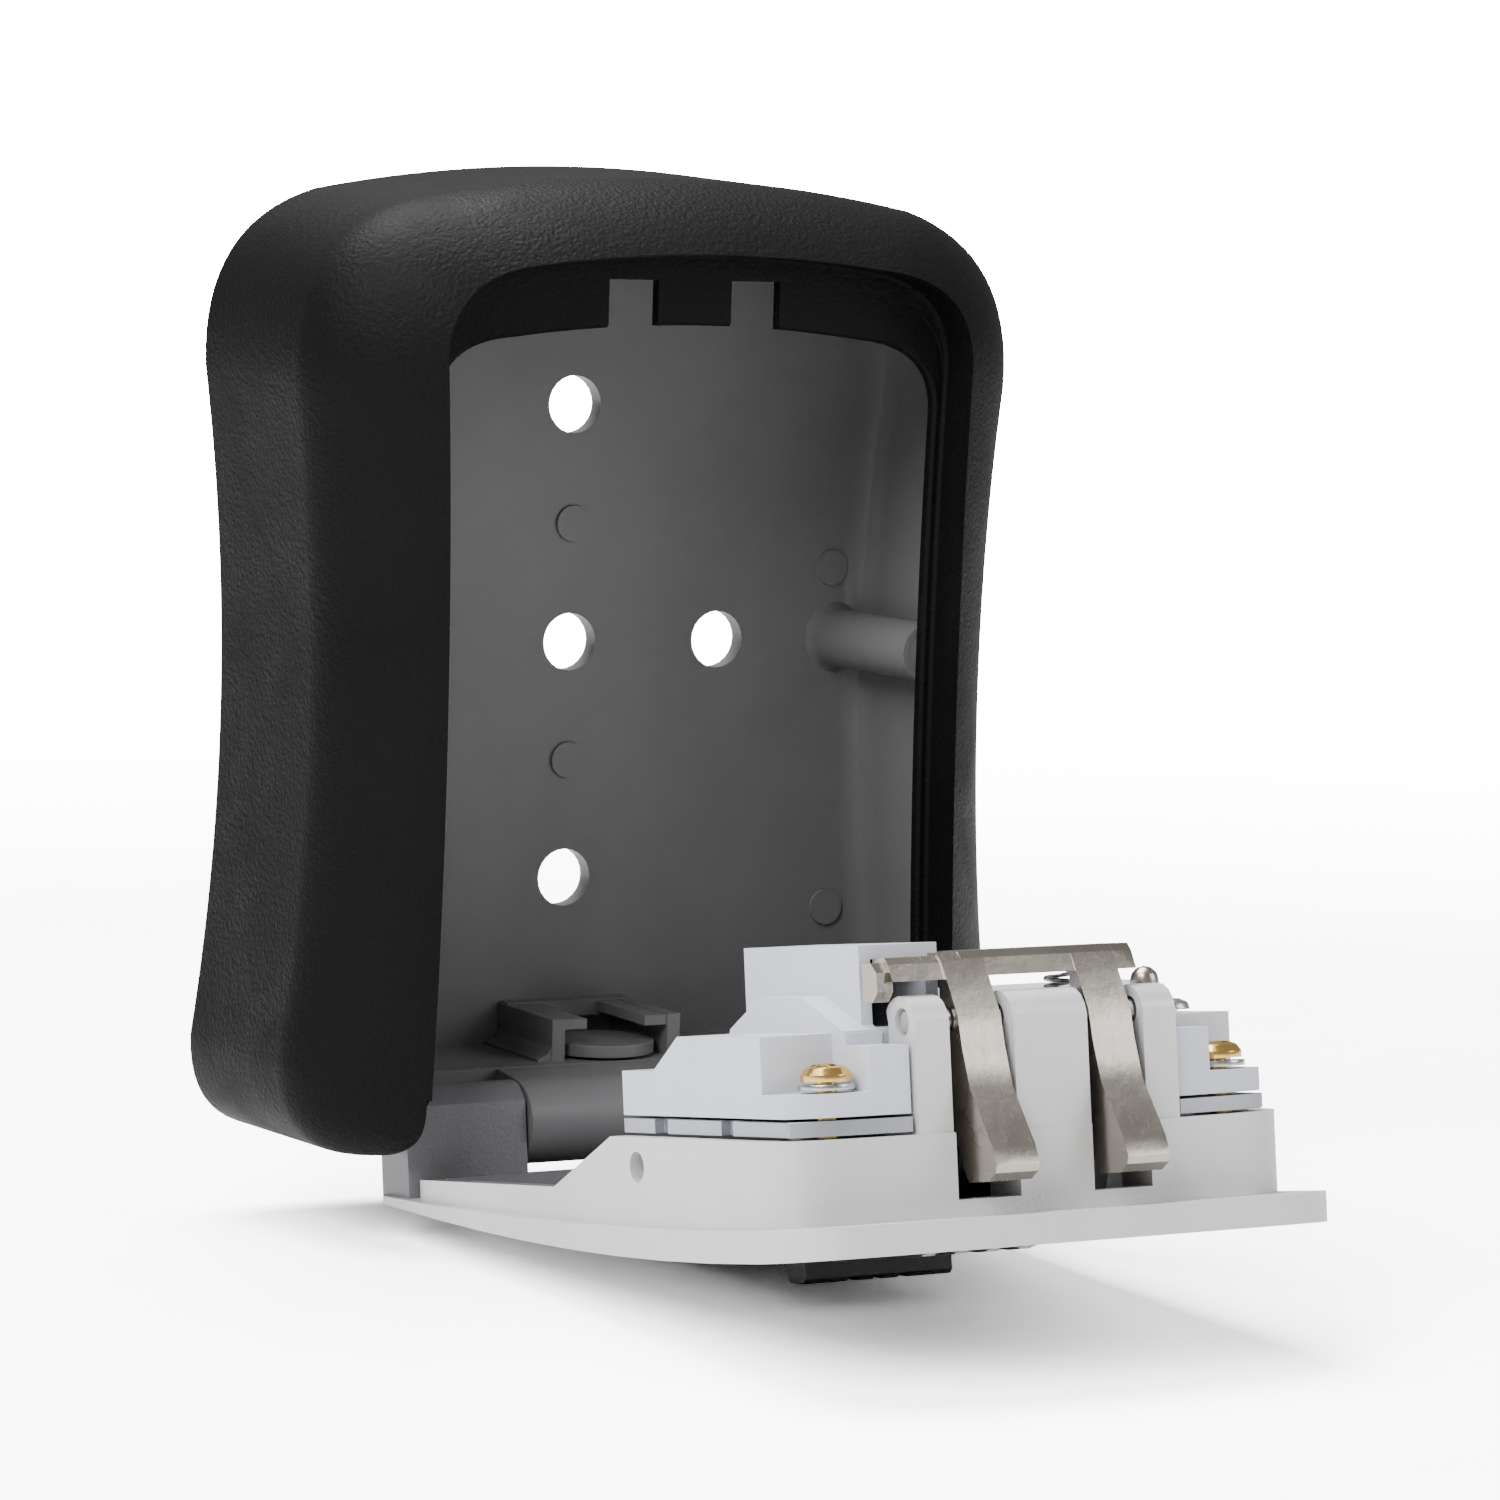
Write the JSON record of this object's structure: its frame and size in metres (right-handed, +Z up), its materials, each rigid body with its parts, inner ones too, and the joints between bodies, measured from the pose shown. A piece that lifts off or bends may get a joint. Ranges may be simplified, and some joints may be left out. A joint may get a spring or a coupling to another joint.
{
  "type": "key lock box",
  "caption": "Wall key lock box with a waisted shell, a grey lined key space and a hinged cast door that carries its dial lock, latch and weather cover, shown hanging open.",
  "frame": {"origin": "on the flat back that rests against the wall, at the waist of the box and midway across it", "axes": "+X to the right seen from the front, +Y back into the wall, +Z up"},
  "size_m": [0.096, 0.1269, 0.124],
  "materials": {
    "shell_black": "fine-grained black moulding",
    "tray_grey": "smooth grey moulding",
    "door_paint": "sandy silver-grey paint on a casting",
    "plate_zinc": "plain plated sheet",
    "cover_grey": "smooth pale grey casting",
    "steel": "plain",
    "nickel": "dull nickel plating",
    "brass": "bright",
    "dial_black": "semi-gloss black",
    "black_plastic": "matt black"
  },
  "bodies": {
    "box": {"outer_shell": "shell_black", "inner_tray": "tray_grey", "floor_disc": "tray_grey", "hinge_pin": "steel", "shell_screw_left": "steel", "shell_screw_right": "steel"},
    "door": {"door_casting": "door_paint", "mechanism_plate": "plate_zinc", "mechanism_cover": "cover_grey", "cover_screw_left": "brass", "cover_screw_right": "brass", "cover_washer_left": "brass", "cover_washer_right": "brass", "zinc_screw": "steel", "guide_pin": "nickel", "dial_axle": "steel", "detent_spring": "steel", "latch_pin": "steel", "latch_spring": "steel", "slider_spring": "steel"},
    "latch": {"latch": "nickel"},
    "slider": {"open_slider": "black_plastic"},
    "weather": {"weather_cover": "black_plastic"},
    "dial_1": {"dial_wheel_1": "dial_black", "code_ring_1": "brass"},
    "dial_2": {"dial_wheel_2": "dial_black", "code_ring_2": "brass"},
    "dial_3": {"dial_wheel_3": "dial_black", "code_ring_3": "brass"},
    "dial_4": {"dial_wheel_4": "dial_black", "code_ring_4": "brass"}
  },
  "joints": [
    {"name": "door_hinge", "type": "hinge", "parent": "box", "child": "door", "pos_m": [0, -0.02503, -0.04933], "axis": [-1, 0, 0], "range_deg": [-20, 81.7]},
    {"name": "latch_pivot", "type": "hinge", "parent": "door", "child": "latch", "pos_m": [0, -0.11182, -0.02495], "axis": [-1, 0, 0], "range_deg": [-20, 8], "stiffness_Nm_per_rad": 0.05, "deforming": ["latch_spring"]},
    {"name": "open_slide", "type": "slide", "parent": "door", "child": "slider", "axis": [0, -0.9895, 0.1444], "range_m": [0, 0.005], "stiffness_N_per_m": 300, "springref_m": -0.002, "deforming": ["slider_spring"]},
    {"name": "weather_slide", "type": "slide", "parent": "door", "child": "weather", "axis": [0, -0.9895, 0.1444], "range_m": [0, 0.032]},
    {"name": "dial_1_spin", "type": "hinge", "parent": "door", "child": "dial_1", "pos_m": [-0.006, -0.09748, -0.04028], "axis": [1, 0, 0], "continuous": true},
    {"name": "dial_2_spin", "type": "hinge", "parent": "door", "child": "dial_2", "pos_m": [-0.002, -0.09748, -0.04028], "axis": [1, 0, 0], "continuous": true},
    {"name": "dial_3_spin", "type": "hinge", "parent": "door", "child": "dial_3", "pos_m": [0.002, -0.09748, -0.04028], "axis": [1, 0, 0], "continuous": true},
    {"name": "dial_4_spin", "type": "hinge", "parent": "door", "child": "dial_4", "pos_m": [0.006, -0.09748, -0.04028], "axis": [1, 0, 0], "continuous": true}
  ]
}
